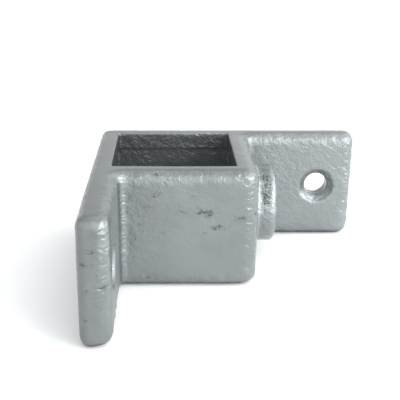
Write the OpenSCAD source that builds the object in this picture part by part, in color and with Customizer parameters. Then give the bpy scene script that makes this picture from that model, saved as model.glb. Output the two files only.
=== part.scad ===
// Square tube connector: a cast corner fitting. A square collar slides over the end of a square tube and a set screw
// in a side boss grips it. Two flat lugs run on from two neighbouring walls of the collar, at right angles to each
// other, and each has a countersunk fixing hole.
// Origin: on the axis of the tube, on the bottom face. +Z runs along the tube, +X along the back lug, and the other lug
// runs towards -Y. All sizes are in millimetres.

/* [Tube socket] */
// Outside width of the square tube that the collar takes
tube_w = 40; // [38:0.5:44]
// Gap between the tube and the socket on each side
socket_gap = 0.3; // [0.2:0.05:0.5]
// Thickness of the collar's walls
wall = 7; // [6.5:0.1:8]
// Height of the collar and of both lugs
height = 40; // [38:0.5:48]
// Depth of the close-fitting band at each mouth of the socket
land_h = 6; // [4:0.5:7]
// How far the middle of the socket is relieved on each side
relief = 0.8; // [0.4:0.1:1]

/* [Lugs] */
// Length of each lug beyond the collar
lug_len = 40.2; // [36:0.2:48]
// Thickness of each lug
lug_t = 9.7; // [9.4:0.1:10.6]
// Distance from the collar to the middle of the fixing hole
hole_from_collar = 26.7; // [18:0.1:28]
// Diameter of the fixing holes
hole_d = 8.6; // [6.5:0.1:10]
// Diameter of the countersink at both ends of a fixing hole
sink_d = 13.2; // [12:0.1:15]

/* [Boss and set screw] */
// Diameter of the boss that carries the set screw
boss_d = 27; // [25:0.5:28]
// How far the boss stands out from the collar
boss_h = 7.7; // [6.5:0.1:9]
// Rounding of the boss's outer edge
boss_round = 1.8; // [0.8:0.1:2]
// Outside diameter of the set screw
screw_d = 16.6; // [14:0.1:17]
// Running gap around the set screw, on the radius
screw_gap = 0.05; // [0.03:0.01:0.08]
// Length of the set screw
screw_len = 12.6; // [11:0.1:13]
// Width across the flats of the set screw's hexagon socket
key_w = 8; // [6:0.5:9]
// Depth of the hexagon socket
key_depth = 6; // [4:0.5:7]

/* [Edges] */
// Rounding of the edges round the top and bottom faces
edge_r = 3.8; // [2:0.1:4]
// Radius of the collar's free upright corner, in plan
collar_corner_r = 4.7; // [4.2:0.1:6]
// Radius of the inside corners between a lug and the collar
fillet_r = 2.4; // [1:0.1:2.6]
// Flats along each rounding
round_steps = 6; // [4:1:8]

/* [Hidden] */
$fn = 72;
eps = 0.02;
socket_w = tube_w + 2 * socket_gap;
half = socket_w / 2 + wall;             // collar face, from the tube's axis
reach = half + lug_len;                 // free end of a lug
lug_in = half - lug_t;                  // inner face of a lug
hole_at = half + hole_from_collar;
end_r = edge_r + 0.5;                   // upright corners of the lugs
boss_end = half + boss_h;
screw_out = boss_end - 0.5;             // outer end of the set screw, backed off
sink_h = (sink_d - hole_d) / 2;         // 90 degree countersink

// Plan of the casting, anticlockwise: corner, way in, way out, radius, and 1 for an outside or -1 for an inside corner
plan = [
    [[half, -half], [1, 0], [0, 1], collar_corner_r, 1],
    [[half, lug_in], [0, 1], [1, 0], fillet_r, -1],
    [[reach, lug_in], [1, 0], [0, 1], end_r, 1],
    [[reach, half], [0, 1], [-1, 0], end_r, 1],
    [[-half, half], [-1, 0], [0, -1], end_r, 1],
    [[-half, -reach], [0, -1], [1, 0], end_r, 1],
    [[-lug_in, -reach], [1, 0], [0, 1], end_r, 1],
    [[-lug_in, -half], [0, 1], [1, 0], fillet_r, -1]
];

// Outline of the plan drawn in by d all round
function outline(d) = [
    for (c = plan)
        let (mid = c[0] + c[3] * (c[2] - c[1]), r = c[3] - c[4] * d)
            for (i = [0 : round_steps])
                let (a = 90 * i / round_steps)
                    mid + r * (sin(a) * c[1] - cos(a) * c[2])
];

// Levels up the casting: how far each is drawn in, and its height
levels = concat(
    [for (i = [0 : round_steps]) let (a = 90 * i / round_steps) [edge_r * (1 - sin(a)), edge_r * (1 - cos(a))]],
    [for (i = [round_steps : -1 : 0]) let (a = 90 * i / round_steps) [edge_r * (1 - sin(a)), height - edge_r * (1 - cos(a))]]
);

// Solid of the collar and both lugs in one, with every top and bottom edge rounded
module rounded_block() {
    n = len(plan) * (round_steps + 1);
    m = len(levels);
    // both end faces fan out from the back left corner, which sees every other point of the outline
    first = 4 * (round_steps + 1) + floor(round_steps / 2);
    points = [for (l = levels) for (p = outline(l[0])) [p[0], p[1], l[1]]];
    sides = [for (k = [0 : m - 2]) for (i = [0 : n - 1])
        let (j = (i + 1) % n) [k * n + i, (k + 1) * n + i, (k + 1) * n + j, k * n + j]];
    bottom = [for (i = [0 : n - 1]) (first + i) % n];
    top = [for (i = [0 : n - 1]) (m - 1) * n + (first - i + n) % n];
    polyhedron(points, concat([bottom, top], sides), convexity = 6);
}

// Square hole through the collar: a close band at each mouth and a relieved middle with sloping shoulders
module tube_hole() {
    mid_w = socket_w + 2 * relief;
    translate([-socket_w / 2, -socket_w / 2, -1]) cube([socket_w, socket_w, height + 2]);
    translate([-mid_w / 2, -mid_w / 2, land_h + relief]) cube([mid_w, mid_w, height - 2 * (land_h + relief)]);
    hull() {
        translate([-socket_w / 2, -socket_w / 2, land_h]) cube([socket_w, socket_w, height - 2 * land_h]);
        translate([-mid_w / 2, -mid_w / 2, land_h + relief]) cube([mid_w, mid_w, height - 2 * (land_h + relief)]);
    }
}

// Fixing hole through a lug, with its axis on +Z from z = 0 to z = lug_t, countersunk at both ends
module fixing_hole() {
    translate([0, 0, -1]) cylinder(h = lug_t + 2, d = hole_d);
    translate([0, 0, -eps]) cylinder(h = sink_h + eps, d1 = sink_d + 2 * eps, d2 = hole_d);
    translate([0, 0, lug_t - sink_h]) cylinder(h = sink_h + eps, d1 = hole_d, d2 = sink_d + 2 * eps);
}

// Boss on the collar's right wall, turned about its own axis: flared foot, plain barrel and rounded outer edge
module boss() {
    r = boss_d / 2;
    foot = 1.6;
    translate([half, 0, height / 2]) rotate([0, 90, 0])
        rotate_extrude()
            polygon(concat(
                [[0, -3], [r + foot, -3], [r + foot, 0]],
                [for (i = [1 : 4]) let (a = 90 * i / 4) [r + foot - foot * sin(a), foot - foot * cos(a)]],
                [for (i = [0 : 6]) let (a = 90 * i / 6) [r - boss_round + boss_round * cos(a), boss_h - boss_round + boss_round * sin(a)]],
                [[0, boss_h]]
            ));
}

// The casting: collar, two lugs and boss in one piece, with the socket, the fixing holes and the screw's hole cut out
module casting() {
    color([0.60, 0.63, 0.64]) difference() {
        union() {
            rounded_block();
            boss();
        }
        tube_hole();
        // fixing hole of the back lug, along Y
        translate([hole_at, half, height / 2]) rotate([90, 0, 0]) fixing_hole();
        // fixing hole of the left lug, along X
        translate([-half, -hole_at, height / 2]) rotate([0, 90, 0]) fixing_hole();
        // hole of the set screw, with a chamfered mouth
        translate([socket_w / 2 - 1, 0, height / 2]) rotate([0, 90, 0])
            cylinder(h = wall + boss_h + 2, r = screw_d / 2 + screw_gap);
        translate([boss_end - 0.9, 0, height / 2]) rotate([0, 90, 0])
            cylinder(h = 1, r1 = screw_d / 2 + screw_gap, r2 = screw_d / 2 + screw_gap + 1);
    }
}

// Set screw: a headless screw with a cupped point towards the tube and a hexagon socket at its outer end
module set_screw() {
    r = screw_d / 2;
    color([0.45, 0.46, 0.46])
        translate([screw_out, 0, height / 2]) rotate([0, -90, 0])
            difference() {
                rotate_extrude()
                    polygon([[0, 0], [r - 0.9, 0], [r, 0.9], [r, screw_len - 2.2], [r - 2.2, screw_len],
                             [r - 3, screw_len], [r - 4.6, screw_len - 1.4], [0, screw_len - 1.4]]);
                translate([0, 0, -1]) cylinder(h = key_depth + 1, d = key_w / cos(30), $fn = 6);
            }
}

casting();
set_screw();
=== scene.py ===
"""Square tube connector: looks of the galvanised casting and its set screw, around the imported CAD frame.

Everything is in metres in the CAD frame: origin on the tube's axis at the bottom face, +Z along the tube, +X along the
back lug, the other lug towards -Y. The mesh builders below work in millimetres and scale at the end.
"""
import math

import bpy
import numpy as np
from mathutils import Euler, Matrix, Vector


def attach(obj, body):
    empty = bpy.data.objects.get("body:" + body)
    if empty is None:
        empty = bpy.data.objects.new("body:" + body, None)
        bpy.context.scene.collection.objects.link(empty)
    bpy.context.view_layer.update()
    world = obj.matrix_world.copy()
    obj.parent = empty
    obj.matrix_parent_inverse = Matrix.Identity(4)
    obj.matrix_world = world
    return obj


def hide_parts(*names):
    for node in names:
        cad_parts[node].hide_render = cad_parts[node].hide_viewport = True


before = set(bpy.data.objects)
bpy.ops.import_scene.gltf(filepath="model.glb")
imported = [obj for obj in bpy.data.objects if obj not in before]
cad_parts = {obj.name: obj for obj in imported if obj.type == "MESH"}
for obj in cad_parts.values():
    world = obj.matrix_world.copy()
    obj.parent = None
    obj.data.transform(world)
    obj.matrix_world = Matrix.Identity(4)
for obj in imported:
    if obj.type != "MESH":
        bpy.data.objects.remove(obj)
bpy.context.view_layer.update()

MM = 0.001

# ---------------------------------------------------------------- sizes, in millimetres, as in the CAD
SOCK = 20.3          # half the socket's width in the bands at its mouths
RELIEF = 0.8         # how far the middle of the socket is relieved
LAND = 6.0           # depth of the bands
HALF = 27.3          # collar face from the tube's axis
H = 40.0             # height
REACH = 67.5         # free end of a lug
LUG_IN = 17.6        # inner face of a lug, from the axis
HOLE_AT = 54.0       # fixing hole from the axis
HOLE_R, SINK_R = 4.3, 6.6
BOSS_R, BOSS_END, BOSS_ROUND = 13.5, 35.0, 1.8
BORE_R = 8.35
R_IN, R_OUT = 4.75, 3.9    # rounding of the edges of the inner faces, and of the two outer faces


# ---------------------------------------------------------------- plan outline as a fine polyline
def plan_outline(steps=24):
    corners = [
        ((HALF, -HALF), (1, 0), (0, 1), 4.73, 1),
        ((HALF, LUG_IN), (0, 1), (1, 0), 2.4, -1),
        ((REACH, LUG_IN), (1, 0), (0, 1), 4.25, 1),
        ((REACH, HALF), (0, 1), (-1, 0), 3.5, 1),
        ((-HALF, HALF), (-1, 0), (0, -1), 3.5, 1),
        ((-HALF, -REACH), (0, -1), (1, 0), 3.5, 1),
        ((-LUG_IN, -REACH), (1, 0), (0, 1), 4.25, 1),
        ((-LUG_IN, -HALF), (0, 1), (1, 0), 2.4, -1),
    ]
    out = []
    for p, a, b, r, s in corners:
        p, a, b = np.array(p, float), np.array(a, float), np.array(b, float)
        mid = p + r * (b - a)
        for i in range(steps + 1):
            t = math.pi / 2 * i / steps
            out.append(mid + r * (math.sin(t) * a - math.cos(t) * b))
    return np.array(out)


class PlanField:
    """Signed distance to the plan outline, exact on a fine grid and bilinear between."""

    def __init__(self, step=0.2, margin=4.0):
        self.lo = np.array([-HALF - margin, -REACH - margin])
        hi = np.array([REACH + margin, HALF + margin])
        self.step = step
        self.n = np.ceil((hi - self.lo) / step).astype(int) + 2
        gx = self.lo[0] + step * np.arange(self.n[0])
        gy = self.lo[1] + step * np.arange(self.n[1])
        X, Y = np.meshgrid(gx, gy, indexing="ij")
        poly = plan_outline()
        a = poly
        b = np.roll(poly, -1, 0)
        keep = np.linalg.norm(b - a, axis=1) > 1e-9
        a, b = a[keep], b[keep]
        best = np.full(X.shape, 1e9)
        inside = np.zeros(X.shape, bool)
        for (ax, ay), (bx, by) in zip(a, b):
            dx, dy = bx - ax, by - ay
            t = np.clip(((X - ax) * dx + (Y - ay) * dy) / (dx * dx + dy * dy), 0, 1)
            d = (X - ax - t * dx) ** 2 + (Y - ay - t * dy) ** 2
            np.minimum(best, d, out=best)
            if ay != by:
                cross = ((ay > Y) != (by > Y)) & (X < dx * (Y - ay) / (by - ay) + ax)
                inside ^= cross
        f = np.sqrt(best) * np.where(inside, -1, 1)
        # a light blur takes the sudden start out of the corners' rounding
        taps = np.exp(-0.5 * (np.arange(-9, 10) / 3.5) ** 2)
        taps /= taps.sum()
        for axis in (0, 1):
            pad = [(9, 9) if k == axis else (0, 0) for k in (0, 1)]
            wide = np.pad(f, pad, mode="edge")
            f = sum(t * np.take(wide, np.arange(i, i + f.shape[axis]), axis) for i, t in enumerate(taps))
        self.f = f

    def __call__(self, x, y):
        u = (x - self.lo[0]) / self.step
        v = (y - self.lo[1]) / self.step
        i = np.clip(u.astype(int), 0, self.n[0] - 2)
        j = np.clip(v.astype(int), 0, self.n[1] - 2)
        fu, fv = u - i, v - j
        f = self.f
        return (
            f[i, j] * (1 - fu) * (1 - fv)
            + f[i + 1, j] * fu * (1 - fv)
            + f[i, j + 1] * (1 - fu) * fv
            + f[i + 1, j + 1] * fu * fv
        )


PLAN = PlanField()


def smooth(t):
    t = np.clip(t, 0, 1)
    return t * t * (3 - 2 * t)


def rounded(a, b, r):
    """Intersection of two half spaces with a convex rounding of radius r."""
    u, v = a + r, b + r
    return np.minimum(np.maximum(u, v), 0) + np.hypot(np.maximum(u, 0), np.maximum(v, 0)) - r


def soft_rounded(a, b, r, p=2.4):
    """The same with a rounding that starts gently."""
    u, v = a + r, b + r
    return np.minimum(np.maximum(u, v), 0) + (np.maximum(u, 0) ** p + np.maximum(v, 0) ** p) ** (1 / p) - r


def union_round(a, b, r):
    return np.maximum(r, np.minimum(a, b)) - np.hypot(np.maximum(r - a, 0), np.maximum(r - b, 0))


def casting_field(x, y, z):
    """Signed distance (near the surface) of the whole casting, in millimetres."""
    d2 = PLAN(x, y)
    depth = np.minimum(x + HALF, HALF - y)
    r = R_OUT + (R_IN - R_OUT) * smooth((depth - 3.6) / 2.6)
    f = soft_rounded(d2, np.abs(z - H / 2) - H / 2, r)
    # boss with a rounded outer edge and a filleted foot
    q = np.hypot(y, z - H / 2)
    boss = np.maximum(rounded(q - BOSS_R, x - BOSS_END, BOSS_ROUND), 23.0 - x)
    f = union_round(f, boss, 2.6)
    # socket: close bands at the mouths, relieved middle, 45 degree shoulders
    e = np.minimum(z, H - z)
    w = SOCK + RELIEF * smooth((e - LAND) / RELIEF)
    rc = 0.7
    px, py = np.abs(x) - (w - rc), np.abs(y) - (w - rc)
    void = np.minimum(np.maximum(px, py), 0) + np.hypot(np.maximum(px, 0), np.maximum(py, 0)) - rc
    f = rounded(f, -void, 0.45)
    # fixing holes, countersunk at both ends
    for a, b in ((x - HOLE_AT, y), (y + HOLE_AT, -x)):
        q = np.hypot(a, z - H / 2)
        near = np.maximum((q + b - LUG_IN - SINK_R) / math.sqrt(2), LUG_IN - 2 - b)
        far = np.maximum((q - b + HALF - SINK_R) / math.sqrt(2), b - HALF - 2)
        cyl = np.maximum(q - HOLE_R, np.abs(b - (LUG_IN + HALF) / 2) - 7)
        v = np.minimum(cyl, np.minimum(near, far))
        f = rounded(f, -v, 0.18)
    # hole of the set screw with a chamfered mouth
    q = np.hypot(y, z - H / 2)
    mouth = np.maximum((q - BORE_R - (x - BOSS_END + 0.9)) / math.sqrt(2), x - BOSS_END - 2)
    v = np.minimum(q - BORE_R, mouth)
    f = rounded(f, -np.maximum(v, 15.0 - x), 0.3)
    return f


def gradient(fn, p, eps=0.03):
    g = np.empty_like(p)
    for k in range(3):
        d = np.zeros(3)
        d[k] = eps
        a, b = p + d, p - d
        g[:, k] = (fn(a[:, 0], a[:, 1], a[:, 2]) - fn(b[:, 0], b[:, 1], b[:, 2])) / (2 * eps)
    return g


def curvature(fn, p, eps=0.4):
    """Sum of the surface's two curvatures, in 1/mm: above 0 on outside edges, below 0 in inside corners."""
    total = -6 * fn(p[:, 0], p[:, 1], p[:, 2])
    for k in range(3):
        for sign in (-eps, eps):
            q = p.copy()
            q[:, k] += sign
            total = total + fn(q[:, 0], q[:, 1], q[:, 2])
    return total / eps**2


def dual_contour(fn, lo, hi, step):
    """Closed quad mesh of fn = 0 with one vertex a cell, set on edges and creases by least squares."""
    n = np.ceil((np.array(hi) - np.array(lo)) / step).astype(int) + 1
    ax = [lo[k] + step * np.arange(n[k]) for k in range(3)]
    f = np.empty(n, np.float32)
    for i in range(0, n[0], 16):
        X, Y, Z = np.meshgrid(ax[0][i : i + 16], ax[1], ax[2], indexing="ij")
        f[i : i + 16] = fn(X, Y, Z)
    s = f < 0
    cells = n - 1
    pts, nrm, cell_ids, quads = [], [], [], []
    for k in range(3):
        u, v = (k + 1) % 3, (k + 2) % 3
        a = [slice(None)] * 3
        b = [slice(None)] * 3
        a[k], b[k] = slice(0, -1), slice(1, None)
        sa, sb = s[tuple(a)], s[tuple(b)]
        idx = np.argwhere(sa != sb)
        ok = (idx[:, u] > 0) & (idx[:, v] > 0) & (idx[:, u] < cells[u]) & (idx[:, v] < cells[v])
        idx = idx[ok]
        fa = f[tuple(idx.T)]
        j = idx.copy()
        j[:, k] += 1
        fb = f[tuple(j.T)]
        t0, t1 = np.zeros(len(idx)), np.ones(len(idx))
        va, vb = fa.astype(float), fb.astype(float)
        base = np.array(lo) + idx * step
        for _ in range(4):
            t = np.clip(va / (va - vb), 0.05, 0.95) if _ else va / (va - vb)
            t = t0 + (t1 - t0) * t
            p = base.copy()
            p[:, k] += t * step
            val = fn(p[:, 0], p[:, 1], p[:, 2])
            same = (val < 0) == (va < 0)
            t0, va = np.where(same, t, t0), np.where(same, val, va)
            t1, vb = np.where(same, t1, t), np.where(same, vb, val)
        t = t0 + (t1 - t0) * va / (va - vb)
        p = base.copy()
        p[:, k] += t * step
        g = gradient(fn, p)
        g /= np.linalg.norm(g, axis=1)[:, None]
        ring = []
        for du, dv in ((-1, -1), (0, -1), (0, 0), (-1, 0)):
            c = idx.copy()
            c[:, u] += du
            c[:, v] += dv
            ring.append((c[:, 0] * cells[1] + c[:, 1]) * cells[2] + c[:, 2])
        ring = np.stack(ring, 1)
        out = f[tuple(idx.T)] < 0
        quads.append(np.where(out[:, None], ring, ring[:, ::-1]))
        pts.append(np.repeat(p, 4, 0))
        nrm.append(np.repeat(g, 4, 0))
        cell_ids.append(ring.reshape(-1))
    pts, nrm, ids = np.concatenate(pts), np.concatenate(nrm), np.concatenate(cell_ids)
    quads = np.concatenate(quads)
    used, inv = np.unique(ids, return_inverse=True)
    m = len(used)
    cnt = np.bincount(inv, minlength=m).astype(float)
    mean = np.stack([np.bincount(inv, pts[:, k], m) / cnt for k in range(3)], 1)
    rel = pts - mean[inv]
    rhs = (rel * nrm).sum(1)
    A = np.empty((m, 3, 3))
    B = np.empty((m, 3))
    for i in range(3):
        B[:, i] = np.bincount(inv, nrm[:, i] * rhs, m)
        for j in range(3):
            A[:, i, j] = np.bincount(inv, nrm[:, i] * nrm[:, j], m)
    w, V = np.linalg.eigh(A)
    good = w > 0.08 * w[:, -1:]
    inv_w = np.where(good, 1 / np.maximum(w, 1e-9), 0)
    x = np.einsum("mij,mj,mkj,mk->mi", V, inv_w, V, B)
    lim = 0.75 * step
    x = np.clip(x, -lim, lim)
    verts = mean + x
    quads = np.searchsorted(used, quads)
    return verts, quads


# ---------------------------------------------------------------- seeded gradient noise
_rng = np.random.default_rng(20261)
_PERM = np.tile(_rng.permutation(256), 3)
_GRAD = _rng.normal(size=(256, 3))
_GRAD /= np.linalg.norm(_GRAD, axis=1)[:, None]


def perlin(p):
    i = np.floor(p).astype(int)
    f = p - i
    u = f * f * f * (f * (f * 6 - 15) + 10)
    i &= 255
    total = np.zeros(len(p))
    for dx in (0, 1):
        for dy in (0, 1):
            for dz in (0, 1):
                h = _PERM[_PERM[_PERM[i[:, 0] + dx] + i[:, 1] + dy] + i[:, 2] + dz]
                g = _GRAD[h]
                d = f - np.array([dx, dy, dz])
                w = (
                    (u[:, 0] if dx else 1 - u[:, 0])
                    * (u[:, 1] if dy else 1 - u[:, 1])
                    * (u[:, 2] if dz else 1 - u[:, 2])
                )
                total += w * (g * d).sum(1)
    return total * 1.6


def mesh_object(name, verts, faces, smooth_shade=True):
    me = bpy.data.meshes.new(name)
    me.from_pydata((verts * MM).tolist(), [], faces.tolist() if hasattr(faces, "tolist") else faces)
    me.validate()
    me.update()
    if smooth_shade:
        me.polygons.foreach_set("use_smooth", np.ones(len(me.polygons), bool))
    ob = bpy.data.objects.new(name, me)
    bpy.context.scene.collection.objects.link(ob)
    return ob


# ---------------------------------------------------------------- pits and nicks in the zinc
def on_front(x, z, half_len, half_wid, tilt=0.0, dark=0.7):
    t = math.radians(tilt)
    return ((x, -HALF, z), (math.cos(t), 0, math.sin(t)), (0, -1, 0), half_len, half_wid, dark)


def on_end(x, z, half_len, half_wid, tilt=0.0, dark=0.7):
    t = math.radians(tilt)
    return ((x, -REACH, z), (math.cos(t), 0, math.sin(t)), (0, -1, 0), half_len, half_wid, dark)


def on_boss(x, angle, half_len, half_wid, tilt=0.0, dark=0.7):
    a, t = math.radians(angle), math.radians(tilt)
    n = (0, -math.cos(a), math.sin(a))
    up = (0, math.sin(a), math.cos(a))
    d = (math.cos(t), math.sin(t) * up[1], math.sin(t) * up[2])
    return ((x, BOSS_R * n[1], H / 2 + BOSS_R * n[2]), d, n, half_len, half_wid, dark)


def on_top(x, y, half_len, half_wid, tilt=0.0, dark=0.5):
    t = math.radians(tilt)
    return ((x, y, H), (math.cos(t), math.sin(t), 0), (0, 0, 1), half_len, half_wid, dark)


MARKS = [
    # the cluster right of the middle of the collar's front
    on_front(7.4, 28.1, 0.75, 0.28, -20, 0.8),
    on_front(8.3, 27.4, 0.6, 0.2, -35, 0.5),
    on_front(4.6, 27.2, 1.1, 0.2, -12, 0.55),
    on_front(9.2, 26.8, 0.8, 0.25, -30, 0.6),
    on_front(10.3, 26.3, 1.1, 0.3, -5, 0.8),
    on_front(11.2, 26.5, 1.2, 0.38, 62, 1.0),
    on_front(11.8, 27.4, 0.5, 0.22, 40, 0.7),
    on_front(11.0, 25.1, 0.6, 0.45, 80, 0.95),
    on_front(11.4, 24.3, 0.6, 0.25, 10, 0.6),
    on_front(12.4, 26.0, 0.6, 0.2, 0, 0.6),
    on_front(14.1, 26.0, 1.25, 0.2, 3, 0.8),
    on_front(12.7, 21.6, 1.1, 0.18, -4, 0.6),
    on_front(14.1, 21.0, 0.8, 0.22, 12, 0.65),
    on_front(15.6, 21.3, 0.7, 0.2, -15, 0.7),
    on_front(14.0, 22.4, 0.6, 0.16, 0, 0.45),
    on_front(17.7, 20.2, 0.8, 0.18, 8, 0.55),
    on_front(13.6, 20.1, 0.5, 0.18, 0, 0.5),
    on_front(9.9, 19.2, 0.5, 0.2, 20, 0.6),
    on_front(20.2, 24.2, 0.9, 0.3, 10, 0.6),
    on_front(18.9, 24.9, 0.7, 0.16, 0, 0.4),
    on_front(22.8, 24.5, 0.4, 0.6, 0, 0.6),
    on_front(21.6, 23.8, 0.7, 0.2, -10, 0.45),
    on_front(22.4, 27.9, 0.4, 0.2, 30, 0.4),
    # the left part of the front
    on_front(-5.5, 33.1, 1.2, 0.2, -3, 0.5),
    on_front(-5.6, 31.7, 0.7, 0.22, 5, 0.5),
    on_front(-7.1, 28.7, 0.5, 0.18, 0, 0.6),
    on_front(-9.5, 30.4, 0.8, 0.2, 0, 0.35),
    on_front(-7.4, 26.7, 0.5, 0.25, 0, 0.35),
    on_front(-3.9, 36.4, 0.7, 0.25, -30, 0.45),
    on_front(5.1, 32.3, 0.8, 0.15, 25, 0.4),
    on_front(-12.7, 17.3, 0.35, 0.35, 0, 0.6),
    on_front(-3.3, 19.2, 0.7, 0.2, 0, 0.5),
    on_front(-10.9, 22.1, 0.4, 0.25, 0, 0.35),
    on_front(-9.6, 4.3, 0.9, 0.16, -25, 0.45),
    on_front(-8.6, 3.8, 0.5, 0.14, -20, 0.35),
    on_front(-7.2, 3.1, 0.9, 0.16, -5, 0.45),
    on_front(24.4, 12.1, 0.8, 0.22, -5, 0.55),
    on_front(24.0, 26.3, 0.6, 0.2, 10, 0.5),
    # the end of the left lug
    on_end(-23.6, 30.9, 0.55, 0.24, 0, 0.8),
    on_end(-21.7, 31.1, 0.95, 0.16, 8, 0.8),
    on_end(-22.7, 30.6, 0.45, 0.15, -10, 0.5),
    on_end(-23.4, 29.8, 0.85, 0.16, 4, 0.6),
    on_end(-25.8, 28.4, 0.4, 0.18, 0, 0.5),
    on_end(-25.5, 27.1, 0.9, 0.16, -4, 0.6),
    on_end(-25.3, 26.5, 1.0, 0.17, -8, 0.65),
    on_end(-24.3, 26.6, 0.7, 0.2, 10, 0.7),
    on_end(-22.8, 26.7, 0.4, 0.24, 0, 0.65),
    on_end(-22.7, 27.3, 0.9, 0.14, 0, 0.5),
    on_end(-24.2, 25.9, 1.0, 0.15, -5, 0.6),
    on_end(-23.0, 23.6, 0.35, 0.16, 0, 0.45),
    on_end(-21.4, 23.6, 0.35, 0.18, 0, 0.5),
    on_end(-20.9, 19.5, 1.1, 0.2, -3, 1.0),
    on_end(-20.0, 19.4, 1.0, 0.30, 8, 1.4),
    on_end(-19.0, 19.8, 1.0, 0.26, -4, 1.2),
    on_end(-22.2, 19.6, 0.9, 0.13, 0, 0.45),
    on_end(-25.4, 20.0, 0.5, 0.18, -10, 0.6),
    on_end(-24.3, 18.7, 0.3, 0.17, 0, 0.5),
    on_end(-23.7, 17.9, 0.3, 0.17, 0, 0.5),
    on_end(-21.9, 18.2, 0.6, 0.18, -15, 0.65),
    on_end(-24.8, 17.8, 0.5, 0.13, 0, 0.35),
    on_end(-20.6, 12.4, 0.7, 0.16, 10, 0.45),
    on_end(-24.5, 9.4, 0.4, 0.2, 5, 0.8),
    on_end(-25.4, 9.6, 0.6, 0.16, -8, 0.5),
    on_end(-21.3, 9.3, 0.35, 0.16, 0, 0.5),
    on_end(-23.4, 8.5, 0.5, 0.13, 0, 0.3),
    on_end(-22.9, 14.8, 1.1, 0.13, 3, 0.3),
    on_end(-24.6, 22.0, 0.8, 0.12, -3, 0.3),
    on_end(-21.2, 16.2, 0.9, 0.12, -4, 0.3),
    on_end(-23.8, 33.2, 0.6, 0.13, 5, 0.3),
    # the worn patch on the front of the boss
    on_boss(31.6, 62, 0.9, 0.3, 20, 0.8),
    on_boss(30.6, 57, 0.7, 0.22, 15, 0.6),
    on_boss(32.8, 64, 0.7, 0.25, 35, 0.6),
    on_boss(30.3, 65, 0.5, 0.2, 10, 0.45),
    on_boss(31.9, 55, 0.5, 0.22, 0, 0.5),
    on_boss(32.8, 47, 0.55, 0.4, -10, 0.9),
    on_boss(31.2, 45, 0.4, 0.2, 30, 0.45),
    on_boss(33.2, 41, 0.4, 0.25, 0, 0.6),
    on_boss(30.4, 35.5, 0.75, 0.3, -8, 0.9),
    on_boss(31.8, 37, 0.35, 0.3, 60, 0.75),
    on_boss(30.9, 31.5, 0.7, 0.25, 25, 0.7),
    on_boss(32.7, 31, 0.35, 0.35, 50, 0.65),
    on_boss(31.5, 27.5, 0.9, 0.5, -25, 1.0),
    on_boss(32.3, 25.5, 0.5, 0.35, 20, 0.85),
    on_boss(31.2, 21.5, 0.7, 0.4, 15, 1.0),
    on_boss(31.8, 17.5, 0.5, 0.3, -20, 0.7),
    on_boss(33.3, 18, 0.4, 0.25, 0, 0.5),
    on_boss(30.2, 25.5, 0.4, 0.2, 0, 0.5),
    on_boss(32.4, 36.0, 0.3, 0.2, 0, 0.5),
    # a few faint ones on the top
    on_top(-4.9, -24.4, 0.9, 0.2, -5, 0.4),
    on_top(-1.1, -26.1, 0.7, 0.3, 0, 0.6),
    on_top(-5.9, -25.7, 0.6, 0.2, 10, 0.35),
    on_front(-5.9, 39.2, 0.8, 0.3, -8, 0.6),
    on_front(-4.3, 38.8, 0.9, 0.25, -5, 0.6),
    on_top(-20.8, -62.5, 0.8, 0.3, -5, 0.5),
    on_top(-24.6, -64.5, 0.7, 0.3, -10, 0.45),
    on_top(-21.5, -51.0, 0.9, 0.2, 5, 0.3),
    on_top(33.0, 22.6, 1.0, 0.25, 5, 0.3),
]


# places where the skin is peppered with fine dark strokes
SPECKS = [
    on_front(9.6, 26.2, 5.0, 1.9, -12, 0.56),
    on_front(11.2, 25.8, 1.9, 1.7, 0, 0.74),
    on_front(14.6, 21.3, 4.4, 1.4, 4, 0.66),
    on_front(21.6, 24.5, 3.2, 1.4, 5, 0.64),
    on_front(26.3, 25.4, 1.0, 1.2, 0, 0.75),
    on_front(25.8, 10.5, 0.9, 2.6, 0, 0.55),
    on_front(3.0, 26.6, 2.4, 0.9, -10, 0.58),
    on_front(-5.5, 32.4, 2.8, 1.3, 0, 0.57),
    on_front(-9.0, 28.7, 2.6, 1.7, 0, 0.54),
    on_front(-10.9, 22.4, 1.5, 1.3, 0, 0.52),
    on_front(-13.2, 17.2, 1.0, 0.9, 0, 0.6),
    on_front(-3.2, 19.2, 1.6, 0.6, 0, 0.5),
    on_front(10.1, 19.2, 1.8, 0.7, 0, 0.54),
    on_front(5.4, 31.9, 2.2, 0.9, 0, 0.46),
    on_front(-8.4, 3.7, 2.4, 0.9, -12, 0.52),
    on_front(6.5, 3.0, 5.0, 0.7, 0, 0.42),
    on_front(-5.2, 38.7, 2.2, 0.9, -5, 0.6),
    on_end(-22.9, 30.6, 2.4, 1.0, 3, 0.6),
    on_end(-24.4, 26.6, 2.8, 1.2, -3, 0.6),
    on_end(-20.4, 19.6, 2.6, 0.7, 2, 0.62),
    on_end(-24.2, 18.4, 2.2, 1.3, -5, 0.5),
    on_end(-24.6, 9.4, 1.8, 0.4, 3, 0.5),
    on_end(-22.5, 23.2, 3.0, 1.0, 0, 0.35),
    on_boss(31.4, 58, 1.9, 2.6, 0, 0.75),
    on_boss(31.6, 44, 1.9, 2.0, 0, 0.62),
    on_boss(31.2, 30, 1.7, 2.4, 0, 0.95),
    on_boss(31.4, 19, 1.5, 1.6, 0, 0.8),
    on_boss(31.0, 8, 1.6, 1.6, 0, 0.45),
    on_boss(31.4, 78, 2.2, 2.6, 0, 0.48),
]


def speck_field(p, normals):
    out = np.zeros(len(p))
    for c, d, n, a, b, amount in SPECKS:
        rel = p - np.array(c)
        d, n = np.array(d), np.array(n)
        u, v = rel @ d, rel @ np.cross(n, d)
        q = np.sqrt((u / a) ** 2 + (v / b) ** 2) + 0.25 * perlin(p / 1.1 + 3.3)
        near = (np.abs(rel @ n) < 3.0) & (normals @ n > 0.2)
        out = np.maximum(out, amount * (1 - smooth((q - 0.35) / 1.0)) * near)
    return out


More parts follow.
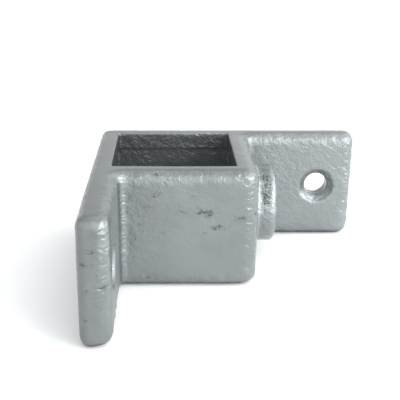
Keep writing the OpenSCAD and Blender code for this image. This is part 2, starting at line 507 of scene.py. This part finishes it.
def near_marks(p, grow):
    hit = np.zeros(len(p), bool)
    for c, d, n, a, b, dark in MARKS:
        hit |= np.linalg.norm(p - np.array(c), axis=1) < a * 1.35 + grow
    return hit


def mark_field(p, normals):
    """How much of a pit there is at each point, 0 to 1, with ragged outlines."""
    out = np.zeros(len(p))
    for k, (c, d, n, a, b, dark) in enumerate(MARKS):
        rel = p - np.array(c)
        idx = np.nonzero((np.linalg.norm(rel, axis=1) < a * 1.6 + 1.0) & (normals @ np.array(n) > 0.2))[0]
        if not len(idx):
            continue
        d, n = np.array(d), np.array(n)
        side = np.cross(n, d)
        u, v = rel[idx] @ d, rel[idx] @ side
        v = v + 0.16 * perlin(np.stack([u / 0.9, np.full(len(u), k * 3.7), np.zeros(len(u))], 1))
        q = np.sqrt((u / a) ** 2 + (v / b) ** 2)
        q = q + 0.35 * perlin(p[idx] / 0.42 + 31.7)
        m = dark * (1 - smooth((q - 0.35) / 1.0))
        out[idx] = np.maximum(out[idx], m)
    return out


def refine(verts, quads, cuts=3):
    """Splits the faces round the marks so that the mesh can carry their shape."""
    import bmesh

    me = bpy.data.meshes.new("refine")
    me.from_pydata(verts.tolist(), [], quads.tolist())
    bm = bmesh.new()
    bm.from_mesh(me)
    bm.faces.ensure_lookup_table()
    mid = verts[quads].mean(1)
    pick = np.nonzero(near_marks(mid, 0.15))[0]
    edges = set()
    for i in pick:
        edges.update(bm.faces[int(i)].edges)
    edges = sorted(edges, key=lambda e: e.index)
    bmesh.ops.subdivide_edges(bm, edges=edges, cuts=cuts, use_grid_fill=True)
    bm.to_mesh(me)
    bm.free()
    v = np.empty(len(me.vertices) * 3)
    me.vertices.foreach_get("co", v)
    faces = [tuple(p.vertices) for p in me.polygons]
    bpy.data.meshes.remove(me)
    return v.reshape(-1, 3), faces


def project(fn, verts, limit):
    g = gradient(fn, verts)
    g /= np.maximum(np.linalg.norm(g, axis=1), 1e-6)[:, None]
    val = fn(verts[:, 0], verts[:, 1], verts[:, 2])
    return verts - np.clip(val, -limit, limit)[:, None] * g, g


# ---------------------------------------------------------------- the casting
def build_casting():
    step = 0.59
    verts, quads = dual_contour(
        casting_field,
        (-HALF - 2 * step, -REACH - 2 * step, -2 * step),
        (REACH + 2.0, HALF + 2.0, H + 2.0),
        step,
    )
    verts, g = project(casting_field, verts, 0.2)
    verts, faces = refine(verts, quads)
    verts, g = project(casting_field, verts, 0.1)
    # lumps of the cast and galvanised skin: strong on the rounded edges and in the inside corners, faint on the faces
    x, y, z = verts.T
    bend = curvature(casting_field, verts, 1.6)
    edge = smooth((np.abs(bend) - 0.006) / 0.12)
    # the two outer faces and their edges are calmer
    depth = np.minimum(x + HALF, HALF - y)
    edge = edge * (1 - 0.7 * smooth((6.0 - depth) / 3.5))
    edge = edge * (1 - 0.3 * smooth(-bend / 0.06)) * (1 - 0.85 * smooth((-21.0 - x) / 1.5) * smooth((-y - 60) / 2))
    s = np.array([1.0, 1.0, -1.0]) / math.sqrt(3)
    along = verts @ s
    squeezed = verts - 0.5 * along[:, None] * s
    big = 0.15 * perlin(squeezed / 2.8 + 3.1)
    small = 0.115 * perlin(verts / 1.35 + 9.7)
    waves = 0.10 * perlin(verts / 14.0 + 5.5)
    # less on the top and bottom faces, in the bores and on the screw's seat
    flat = smooth((np.abs(g[:, 2]) - 0.9) / 0.1)
    bores = np.zeros(len(verts))
    for a in (np.hypot(x - HOLE_AT, z - H / 2), np.hypot(y + HOLE_AT, z - H / 2)):
        bores = np.maximum(bores, smooth((7.3 - a) / 0.6))
        edge = edge * (1 - smooth((10.5 - a) / 1.5))
    seat = smooth((9.6 - np.hypot(y, z - H / 2)) / 0.6) * (x > 15)
    inside = (np.maximum(np.abs(x), np.abs(y)) < SOCK + 1.2) * 1.0
    calm = (1 - 0.8 * flat) * (1 - 0.85 * bores) * (1 - seat)
    move = ((big + small) * (0.19 + 0.9 * edge * (1 - inside)) + waves * 0.8) * calm
    # the faces that carry the part or lie on others stay within the CAD's box
    outer = np.maximum.reduce([
        smooth((-g[:, 0] - 0.6) / 0.3) * (x < -HALF + 3),
        smooth((g[:, 1] - 0.6) / 0.3) * (y > HALF - 3),
        smooth((np.abs(g[:, 2]) - 0.6) / 0.3),
        smooth((g[:, 0] - 0.6) / 0.3) * (x > REACH - 3),
        smooth((-g[:, 1] - 0.6) / 0.3) * (y < -REACH + 3),
    ])
    move = move - 0.10 * outer
    pit = mark_field(verts, g)
    verts = verts + (move - 0.10 * pit)[:, None] * g
    verts = np.clip(verts, (-HALF, -REACH, 0.02), (REACH, HALF, H))
    ob = mesh_object("casting_body", verts, faces)
    print("casting_body triangles", sum(len(f) - 2 for f in faces))
    # how rough the zinc's skin is from place to place
    right = smooth((x - 28) / 8) * (1 - smooth((y - 20) / 4))
    hidden = np.maximum(smooth((g[:, 1] - 0.5) / 0.4) * (y > HALF - 4), smooth((-g[:, 0] - 0.5) / 0.4) * (x < 4 - HALF))
    lug_side = smooth((g[:, 0] - 0.6) / 0.3) * (x < -15) * (y < -HALF)
    lug_end = smooth((-y - 55) / 8)
    boss = smooth((x - HALF - 0.5) / 1.0) * smooth((15.5 - np.hypot(y, z - H / 2)) / 1.0)
    skin = 0.29 + 0.26 * smooth(z / H) + 0.39 * right * (1 - boss) + 0.45 * boss - 0.1 * lug_end + 0.2 * edge
    skin = skin + 0.35 * inside * smooth((z - 22) / 6) + 0.35 * boss + 0.7 * hidden
    skin = (skin * (1 - 0.9 * flat) * (1 - 0.7 * lug_side) + 0.45 * bores) * (1 - seat)
    specks = np.maximum(speck_field(verts, g), 0.13 * smooth((-g[:, 1] - 0.6) / 0.3) * (1 - right))
    ridge = edge * (1 - inside) * (1 - seat) * (1 - boss) * (1 - smooth((np.abs(g[:, 2]) - 0.75) / 0.2))
    up = ridge * smooth((np.minimum(np.abs(g[:, 0]), np.abs(g[:, 1])) - 0.02) / 0.25)
    level = ridge * smooth((np.abs(g[:, 2]) - 0.02) / 0.25) * (0.05 + 0.95 * smooth((z - 10) / 10))
    up = up * (0.5 + 0.5 * smooth(z / H)) * (1 - 0.5 * level) * (1 + 0.15 * smooth((x - 10) / 5) - 0.45 * smooth((x - 32) / 4))
    # ropy columns of lumps up the left lug's right-hand edge and up the bead beside the inside corner
    column = lug_end * smooth((g[:, 0] - 0.2) / 0.25) * smooth((-g[:, 1] - 0.2) / 0.25) * (1 - smooth((g[:, 2] - 0.2) / 0.3))
    column = column * (0.3 + 0.7 * smooth((z - 20) / 12)) * smooth((z - 4) / 8)
    bead = np.exp(-(((x + 15.9) / 0.7) ** 2)) * (y < -HALF + 1) * (y > -HALF - 2)
    rope = np.exp(-(((x + 15.9) / 1.1) ** 2)) * (y < -HALF + 1) * (y > -HALF - 2)
    up = up + (0.52 * column + 0.44 * rope) * (1 - smooth((np.abs(g[:, 2]) - 0.3) / 0.3)) * (0.4 + 0.6 * smooth((z - 6) / 14))
    up = up * (1 - 0.7 * np.clip(pit, 0, 1))
    # painted light and shade, as a factor on the zinc's colour: painted shade inside the socket, painted light on the
    # back lug's front and the left lug's inner face, painted shade on the left lug's end and on the top faces
    light = (1 + 0.2 * right * (1 - flat) - 0.15 * lug_end * (1 - smooth((g[:, 2] - 0.1) / 0.5)) - 0.25 * flat + 0.12 * lug_side) * (1 - 0.4 * inside * smooth((H - 0.4 - z) / 0.8))
    # painted shade over the top of the left lug's end
    light = light * (1 - 0.16 * lug_end * smooth((z - 32) / 5) * smooth((x + 24.5) / 2.5) * (1 - flat))
    # painted light over the socket's relieved middle, a painted highlight along its shoulder and a little painted shade
    # on the band above
    light = light * (1 + inside * (0.16 * smooth((33.2 - z) / 1.0) + 0.5 * np.exp(-(((z - 33.5) / 0.6) ** 2)) - 0.05 * smooth((z - 34) / 1)))
    # painted highlights where the countersinks catch the light low down on their far side
    cone = smooth((7.3 - np.hypot(y + HOLE_AT, z - H / 2)) / 0.6) * (x < -15) * smooth((y + HOLE_AT) / 2) * smooth((23.5 - z) / 3)
    bowl = smooth((7.3 - np.hypot(x - HOLE_AT, z - H / 2)) / 0.6) * (y < 23) * smooth((HOLE_AT + 1 - x) / 3) * smooth((19.5 - z) / 3)
    light = light * (1 + 0.4 * cone + 0.22 * bowl)
    # painted contact shadow along the foot and painted shade in the corner of the left lug
    seen = (1 - smooth((-g[:, 2] - 0.96) / 0.03)) * (1 - hidden)
    foot = smooth((1.25 + 0.35 * lug_end - z) / 0.6) * seen
    light = light * (1 - 0.78 * foot) * (1 - 0.34 * smooth((2.2 + 0.3 * lug_end - z) / 1.6) * seen)
    crease = np.exp(-(((x + 17.35) / 0.4) ** 2)) * (y < -HALF + 1) * (y > -HALF - 4) * (z < H - 3)
    # painted shade in the crease and a painted highlight on the bead beside it
    light = light * (1 - 0.35 * crease + 0.14 * bead)
    # painted highlights on the boss: the band at its foot, a little over the whole boss and patches across its upper
    # front
    turn = np.degrees(np.arctan2(z - H / 2, -y))
    painted_boss_highlight = boss * smooth((turn + 4) / 12) * (1 - smooth((turn - 46) / 14))
    light = light * (1 + 0.3 * boss * smooth((29.8 - x) / 0.6) + 0.04 * boss + painted_boss_highlight * (0.30 * smooth((30.6 - x) / 1.0) + 0.25 * smooth((x - 32.8) / 0.6)))
    # painted shade on the socket's left wall and in the back lug's bore
    bore = smooth((4.9 - np.hypot(x - HOLE_AT, z - H / 2)) / 0.3) * (y > LUG_IN - 1) * (y < HALF + 1)
    light = light * (1 - 0.3 * inside * smooth((g[:, 0] - 0.5) / 0.3)) * (1 - 0.12 * bore)
    # the left lug: a painted highlight up its right-hand edge, a little painted light along the top rim of its end,
    # painted shade over the top of its end and along its inner top edge
    front = lug_end * smooth((-g[:, 1] - 0.2) / 0.15)
    brow = front * smooth((g[:, 2] - 0.12) / 0.4) * (1 - smooth((x + 21.5) / 2.0)) * (1 - smooth((g[:, 2] - 0.84) / 0.1))
    brink = front * smooth((g[:, 2] - 0.84) / 0.08)
    shoulder = smooth((g[:, 0] - 0.06) / 0.2) * smooth((g[:, 2] - 0.3) / 0.2) * (x < -15) * smooth((-y - 28) / 6) * smooth((y + 64) / 2)
    light = light * (1 + 0.26 * column - 0.17 * brow + 0.07 * brink - 0.14 * shoulder)
    # painted shade low on the lug's inner face, on the left rounding of its end and on its top
    light = light * (1 - 0.10 * lug_side * smooth((22 - z) / 10))
    light = light * (1 - 0.11 * (front - brow) * smooth((-g[:, 0] - 0.1) / 0.35))
    light = light * (1 - 0.08 * flat * smooth((y + 25) / 20) * smooth((-x - 16) / 4))
    gloss = np.maximum.reduce([boss, bores, 0.35 * edge * (1 - inside)])
    # painted light that lifts the shade in the nook between the collar, the boss and the back lug
    nook = smooth((40 - x) / 6) * smooth((x - HALF - 0.2) / 0.8) * smooth((y - 14.2) / 2) * (1 - smooth((y - 20) / 2)) * (1 - smooth((np.abs(g[:, 2]) - 0.3) / 0.5))
    light = light * (1 + 0.28 * nook * smooth((37.5 - x) / 7))
    rough = 0.27 - 0.09 * gloss * (1 - nook) + 0.28 * nook + 0.16 * brow + 0.13 * column + 0.09 * rope + 0.65 * foot + 0.25 * lug_side * smooth((27 - z) / 10)
    values = {"light": light, "rough": rough, "skin": skin, "pit": pit, "specks": specks, "level": lug_end, "edge_up": up, "edge_level": level}
    for name, value in values.items():
        at = ob.data.attributes.new(name, "FLOAT", "POINT")
        at.data.foreach_set("value", value.astype(np.float32))
    return ob


# ---------------------------------------------------------------- the set screw
def build_set_screw():
    """Headless screw, axis along X: outer end at x = 34.5, cupped point at x = 21.9, with a helical thread."""
    n = 96
    th = 2 * math.pi * np.arange(n) / n
    outer_x, length, r_out, pitch, deep = BOSS_END - 0.5, 12.6, 8.3, 1.337, 0.78

    def hexagon(flat):
        a = (np.degrees(th) + 30) % 60 - 30
        return flat / 2 / np.cos(np.radians(a))

    rings = []  # (distance from the outer end, radius for each angle)
    rings.append((5.9 + 1.5, np.full(n, 0.0)))
    rings.append((5.9, hexagon(8.0) * 0.93))
    rings.append((5.75, hexagon(8.0)))
    for d in np.linspace(5.0, 0.75, 6):
        rings.append((d, hexagon(8.0)))
    rings.append((0.45, hexagon(8.0) * 1.005))
    rings.append((0.18, 0.5 * hexagon(8.15) + 0.5 * np.full(n, 4.75)))
    rings.append((0.0, np.full(n, 5.05)))
    rings.append((0.0, np.full(n, 5.5)))
    rings.append((0.0, np.full(n, 6.3)))
    rings.append((0.02, np.full(n, 6.95)))
    rings.append((0.10, np.full(n, 7.15)))
    taper = 0.9
    for d in np.linspace(0.25, length - 0.3, 170):
        ph = ((d - pitch * th / (2 * math.pi)) / pitch) % 1.0
        tri = np.abs(2 * ph - 1)
        prof = np.clip((tri - 0.14) / 0.72, 0, 1)
        prof = prof * prof * (3 - 2 * prof)
        r = r_out - deep * (1 - prof)
        r = np.minimum(r, r_out - taper + min(d, 3.0) * 1.0)
        r = np.minimum(r, r_out - 2.2 + (length - d) * 1.0)
        rings.append((d, r))
    rings.append((length - 0.12, np.full(n, r_out - 2.2)))
    rings.append((length, np.full(n, r_out - 2.45)))
    rings.append((length, np.full(n, r_out - 2.9)))
    rings.append((length - 0.1, np.full(n, r_out - 3.05)))
    rings.append((length - 0.7, np.full(n, r_out - 3.8)))
    rings.append((length - 1.35, np.full(n, r_out - 4.8)))
    rings.append((length - 1.4, np.full(n, 1.2)))
    rings.append((length - 1.4, np.full(n, 0.0)))
    verts = []
    for k, (d, r) in enumerate(rings):
        if r.max() == 0:
            verts.append(np.array([[outer_x - d, 0.0, H / 2]]))
        else:
            verts.append(np.stack([np.full(n, outer_x - d), r * np.cos(th), H / 2 + r * np.sin(th)], 1))
    starts = np.cumsum([0] + [len(v) for v in verts])
    faces = []
    for k in range(len(rings) - 1):
        a, b = starts[k], starts[k + 1]
        la, lb = len(verts[k]), len(verts[k + 1])
        for i in range(n):
            j = (i + 1) % n
            if la == 1:
                faces.append((a, b + j, b + i))
            elif lb == 1:
                faces.append((a + i, a + j, b))
            else:
                faces.append((a + i, a + j, b + j, b + i))
    ob = mesh_object("set_screw_threaded", np.concatenate(verts), faces, True)
    ob.data.set_sharp_from_angle(angle=math.radians(38))
    return ob


# ---------------------------------------------------------------- materials
def new_material(name):
    m = bpy.data.materials.new(name)
    m.use_nodes = True
    nt = m.node_tree
    nt.nodes.clear()
    out = nt.nodes.new("ShaderNodeOutputMaterial")
    bsdf = nt.nodes.new("ShaderNodeBsdfPrincipled")
    nt.links.new(bsdf.outputs["BSDF"], out.inputs["Surface"])
    return m, nt, bsdf


def math_node(nt, op, a, b=None, clamp=False):
    nd = nt.nodes.new("ShaderNodeMath")
    nd.operation = op
    nd.use_clamp = clamp
    for i, v in enumerate((a, b)):
        if v is None:
            continue
        if isinstance(v, (int, float)):
            nd.inputs[i].default_value = v
        else:
            nt.links.new(v, nd.inputs[i])
    return nd.outputs[0]


def map_range(nt, value, a, b, c, d, kind="SMOOTHSTEP"):
    nd = nt.nodes.new("ShaderNodeMapRange")
    nd.interpolation_type = kind
    nt.links.new(value, nd.inputs[0])
    for i, v in enumerate((a, b, c, d)):
        nd.inputs[i + 1].default_value = v
    return nd.outputs[0]


def noise(nt, vec, scale, detail=2.0, rough=0.5, distortion=0.0):
    nd = nt.nodes.new("ShaderNodeTexNoise")
    nd.inputs["Scale"].default_value = scale
    nd.inputs["Detail"].default_value = detail
    nd.inputs["Roughness"].default_value = rough
    nd.inputs["Distortion"].default_value = distortion
    nt.links.new(vec, nd.inputs["Vector"])
    return nd.outputs["Fac"]


def mix_colour(nt, fac, a, b):
    nd = nt.nodes.new("ShaderNodeMix")
    nd.data_type = "RGBA"
    nt.links.new(fac, nd.inputs[0])
    for i, v in ((6, a), (7, b)):
        if isinstance(v, tuple):
            nd.inputs[i].default_value = v
        else:
            nt.links.new(v, nd.inputs[i])
    return nd.outputs[2]


def scaled(nt, value, amount):
    """A noise taken about its own middle, so that it doesn't lift the surface where it is strong."""
    nd = nt.nodes.new("ShaderNodeMath")
    nd.operation = "MULTIPLY_ADD"
    nt.links.new(value, nd.inputs[0])
    nd.inputs[1].default_value = amount
    nd.inputs[2].default_value = -0.5 * amount
    return nd.outputs[0]


def scaled_colour(nt, colour, amount):
    nd = nt.nodes.new("ShaderNodeVectorMath")
    nd.operation = "SCALE"
    nt.links.new(colour, nd.inputs[0])
    nt.links.new(amount, nd.inputs["Scale"])
    return nd.outputs[0]


def mix_value(nt, fac, a, b):
    nd = nt.nodes.new("ShaderNodeMix")
    for i, v in ((0, fac), (2, a), (3, b)):
        nt.links.new(v, nd.inputs[i])
    return nd.outputs[0]


def squeezed(nt, vec, axis, keep):
    """Coordinates pressed together along an axis, so that a noise in them runs in strokes along it."""
    n = Vector(axis).normalized()
    dot = nt.nodes.new("ShaderNodeVectorMath")
    dot.operation = "DOT_PRODUCT"
    nt.links.new(vec, dot.inputs[0])
    dot.inputs[1].default_value = n
    amount = math_node(nt, "MULTIPLY", dot.outputs["Value"], -(1 - keep))
    sc = nt.nodes.new("ShaderNodeVectorMath")
    sc.operation = "SCALE"
    sc.inputs[0].default_value = n
    nt.links.new(amount, sc.inputs["Scale"])
    add = nt.nodes.new("ShaderNodeVectorMath")
    add.operation = "ADD"
    nt.links.new(vec, add.inputs[0])
    nt.links.new(sc.outputs[0], add.inputs[1])
    return add.outputs[0]


def attribute(nt, name):
    nd = nt.nodes.new("ShaderNodeAttribute")
    nd.attribute_name = name
    return nd.outputs["Fac"]


def galvanised():
    m, nt, bsdf = new_material("galvanised_casting")
    co = nt.nodes.new("ShaderNodeTexCoord").outputs["Object"]
    skin, level, pit = attribute(nt, "skin"), attribute(nt, "level"), attribute(nt, "pit")
    # the zinc's skin: crumpled strokes that run down to the right on the front faces, level ones on the left lug's end
    n1 = noise(nt, squeezed(nt, co, (1.0, 1.0, -1.0), 0.36), 1250.0, 2.0, 0.62, 1.0)
    n2 = noise(nt, squeezed(nt, co, (1.0, 1.0, -1.0), 0.6), 520.0, 1.0, 0.5, 0.6)
    n5 = noise(nt, squeezed(nt, co, (1.0, 0.0, 0.12), 0.22), 1900.0, 2.0, 0.6, 0.4)
    n4 = noise(nt, co, 2600.0, 1.0, 0.5)
    crumple = math_node(nt, "ADD", scaled(nt, n1, 0.44), scaled(nt, n2, 0.6))
    h = mix_value(nt, level, crumple, scaled(nt, n5, 0.4))
    h = math_node(nt, "ADD", h, scaled(nt, n4, 0.2))
    h = math_node(nt, "MULTIPLY", h, skin)
    # ripples that cross the rounded edges
    nv = noise(nt, squeezed(nt, squeezed(nt, co, (1, 0, 0), 0.7), (0, 1, 0), 0.7), 660.0, 1.0, 0.5, 0.3)
    nh = noise(nt, squeezed(nt, squeezed(nt, co, (0, 0, 1), 0.5), (0, 1, 0), 0.5), 600.0, 2.0, 0.55, 1.0)
    wave = nt.nodes.new("ShaderNodeSeparateXYZ")
    nt.links.new(co, wave.inputs[0])
    wobble = math_node(nt, "MULTIPLY", noise(nt, co, 260.0, 2.0, 0.5), 16.0)
    wave = math_node(nt, "SINE", math_node(nt, "ADD", math_node(nt, "MULTIPLY", wave.outputs["Z"], 3900.0), wobble))
    rise = math_node(nt, "ADD", scaled(nt, nv, 0.72), math_node(nt, "MULTIPLY", wave, 0.06))
    ripple = math_node(nt, "ADD", math_node(nt, "MULTIPLY", rise, attribute(nt, "edge_up")),
                       math_node(nt, "MULTIPLY", scaled(nt, nh, 0.5), attribute(nt, "edge_level")))
    h = math_node(nt, "ADD", h, ripple)
    bump = nt.nodes.new("ShaderNodeBump")
    bump.inputs["Strength"].default_value = 1.0
    bump.inputs["Distance"].default_value = 0.0005
    nt.links.new(h, bump.inputs["Height"])
    nt.links.new(bump.outputs["Normal"], bsdf.inputs["Normal"])
    n3 = noise(nt, co, 90.0, 2.0, 0.5)
    tone = map_range(nt, n3, 0.3, 0.7, 0.0, 1.0)
    col = mix_colour(nt, tone, (0.190, 0.2045, 0.208, 1), (0.210, 0.226, 0.230, 1))
    # painted light and shade from the mesh's light attribute
    col = scaled_colour(nt, col, attribute(nt, "light"))
    # pits are broken up by a fine grain
    grain = map_range(nt, noise(nt, co, 3400.0, 1.0, 0.5), 0.35, 0.65, 0.35, 1.25, "LINEAR")
    dark = map_range(nt, math_node(nt, "MULTIPLY", pit, grain), 0.2, 1.0, 0.0, 0.8)
    fine = noise(nt, squeezed(nt, co, (1.0, 0.0, -0.2), 0.4), 2300.0, 2.0, 0.6, 0.5)
    fine = math_node(nt, "ADD", fine, math_node(nt, "MULTIPLY", attribute(nt, "specks"), 0.48))
    dark = math_node(nt, "MAXIMUM", dark, map_range(nt, fine, 0.77, 0.91, 0.0, 0.85))
    dark = math_node(nt, "MAXIMUM", dark, map_range(nt, attribute(nt, "specks"), 0.15, 0.9, 0.0, 0.10))
    col = mix_colour(nt, dark, col, (0.035, 0.038, 0.037, 1))
    nt.links.new(col, bsdf.inputs["Base Color"])
    bsdf.inputs["Metallic"].default_value = 0.62
    bsdf.inputs["Specular IOR Level"].default_value = 0.5
    rough = math_node(nt, "ADD", attribute(nt, "rough"), math_node(nt, "MULTIPLY", pit, 0.25))
    nt.links.new(rough, bsdf.inputs["Roughness"])
    return m


def screw_steel():
    m, nt, bsdf = new_material("set_screw_steel")
    co = nt.nodes.new("ShaderNodeTexCoord").outputs["Object"]
    n1 = noise(nt, co, 900.0, 3.0, 0.6)
    n2 = noise(nt, co, 260.0, 2.0, 0.5)
    col = mix_colour(nt, map_range(nt, n2, 0.35, 0.65, 0.0, 1.0), (0.30, 0.31, 0.315, 1), (0.42, 0.43, 0.435, 1))
    nt.links.new(col, bsdf.inputs["Base Color"])
    bsdf.inputs["Metallic"].default_value = 0.95
    nt.links.new(map_range(nt, n1, 0.3, 0.7, 0.28, 0.45), bsdf.inputs["Roughness"])
    bump = nt.nodes.new("ShaderNodeBump")
    bump.inputs["Strength"].default_value = 0.35
    bump.inputs["Distance"].default_value = 0.00006
    nt.links.new(n1, bump.inputs["Height"])
    nt.links.new(bump.outputs["Normal"], bsdf.inputs["Normal"])
    return m


# ---------------------------------------------------------------- camera, from the photograph's perspective
def camera():
    cam = bpy.data.cameras.new("camera")
    cam.sensor_fit = "HORIZONTAL"
    cam.sensor_width = 36.0
    cam.lens = 761.5 / 400 * 36
    cam.shift_x = (200 - 168.56) / 400
    cam.shift_y = (197.43 - 200) / 400
    cam.clip_start = 0.01
    cam.clip_end = 50
    ob = bpy.data.objects.new("camera", cam)
    ob.location = (-0.00179, -0.25433, 0.11391)
    ob.rotation_euler = Euler((math.radians(90 - 19.924), 0, 0))
    bpy.context.scene.collection.objects.link(ob)
    bpy.context.scene.camera = ob
    return ob


# ---------------------------------------------------------------- floor and light
def stage_and_light():
    bpy.ops.mesh.primitive_plane_add(size=12, location=(0, 3, -0.00005))
    floor = bpy.context.object
    floor.name = "floor"
    m, nt, bsdf = new_material("studio_floor")
    bsdf.inputs["Base Color"].default_value = (0.86, 0.86, 0.86, 1)
    bsdf.inputs["Roughness"].default_value = 0.9
    bsdf.inputs["Specular IOR Level"].default_value = 0.0
    bsdf.inputs["Emission Color"].default_value = (1, 1, 1, 1)
    bsdf.inputs["Emission Strength"].default_value = 0.0
    floor.data.materials.append(m)

    light_tent(LOBES, BASE_LIGHT)


# Soft light all round: azimuth 0 is +X, the right of the picture, -90 is the camera's side; elevation; narrowness; strength
LOBES = [
    (145, 10, 14, 0.60),
    (-180, 12, 14, 0.49),
    (-150, 12, 14, 1.08),
    (-120, 12, 14, 0.76),
    (-90, 12, 14, 1.14),
    (-60, 12, 14, 1.30),
    (-30, 12, 14, 1.23),
    (0, 12, 14, 1.12),
    (30, 12, 14, 0.75),
    (60, 12, 14, 0.53),
    (90, 12, 14, 0.45),
    (-180, 38, 14, 0.13),
    (-150, 38, 14, 0.45),
    (-120, 38, 14, 0.41),
    (-90, 38, 14, 0.69),
    (-60, 38, 14, 0.88),
    (-30, 38, 14, 0.89),
    (0, 38, 14, 0.72),
    (30, 38, 14, 0.53),
    (60, 38, 14, 0.32),
    (90, 38, 14, 0.03),
    (-90, 64, 14, 0.08),
    (-45, 64, 14, 0.48),
    (0, 64, 14, 0.61),
    (45, 64, 14, 0.51),
    (90, 64, 14, 0.19),
    (-35, 22, 55, 13.69),
    (-5, 24, 55, 8.0),
    (-20, 32, 55, 0.58),
]
BASE_LIGHT = 0.57


def light_tent(lobes, base):
    """World whose brightness is a smooth sum of wide lobes, like a tent lit by softboxes."""
    w = bpy.data.worlds.new("studio")
    bpy.context.scene.world = w
    w.use_nodes = True
    nt = w.node_tree
    bg = nt.nodes["Background"]
    bg.inputs[0].default_value = (0.975, 0.995, 1.0, 1)
    direction = nt.nodes.new("ShaderNodeTexCoord").outputs["Generated"]
    total = None
    for az, el, k, strength in lobes:
        a, e = math.radians(az), math.radians(el)
        dot = nt.nodes.new("ShaderNodeVectorMath")
        dot.operation = "DOT_PRODUCT"
        nt.links.new(direction, dot.inputs[0])
        dot.inputs[1].default_value = (math.cos(a) * math.cos(e), math.sin(a) * math.cos(e), math.sin(e))
        power = nt.nodes.new("ShaderNodeMath")
        power.operation = "MULTIPLY_ADD"
        nt.links.new(dot.outputs["Value"], power.inputs[0])
        power.inputs[1].default_value = k
        power.inputs[2].default_value = -k
        lobe = math_node(nt, "EXPONENT", power.outputs[0])
        add = nt.nodes.new("ShaderNodeMath")
        add.operation = "MULTIPLY_ADD"
        nt.links.new(lobe, add.inputs[0])
        add.inputs[1].default_value = strength
        if total is None:
            add.inputs[2].default_value = base
        else:
            nt.links.new(total, add.inputs[2])
        total = add.outputs[0]
    nt.links.new(total, bg.inputs[1])


def main():
    camera()
    casting = build_casting()
    casting.data.materials.append(galvanised())
    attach(casting, "casting")
    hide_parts("casting")

    screw = build_set_screw()
    screw.data.materials.append(screw_steel())
    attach(screw, "set_screw")
    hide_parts("set_screw")

    stage_and_light()
    sc = bpy.context.scene
    sc.view_settings.view_transform = "Standard"
    sc.view_settings.look = "None"
    sc.view_settings.exposure = 0
    sc.view_settings.gamma = 1


main()
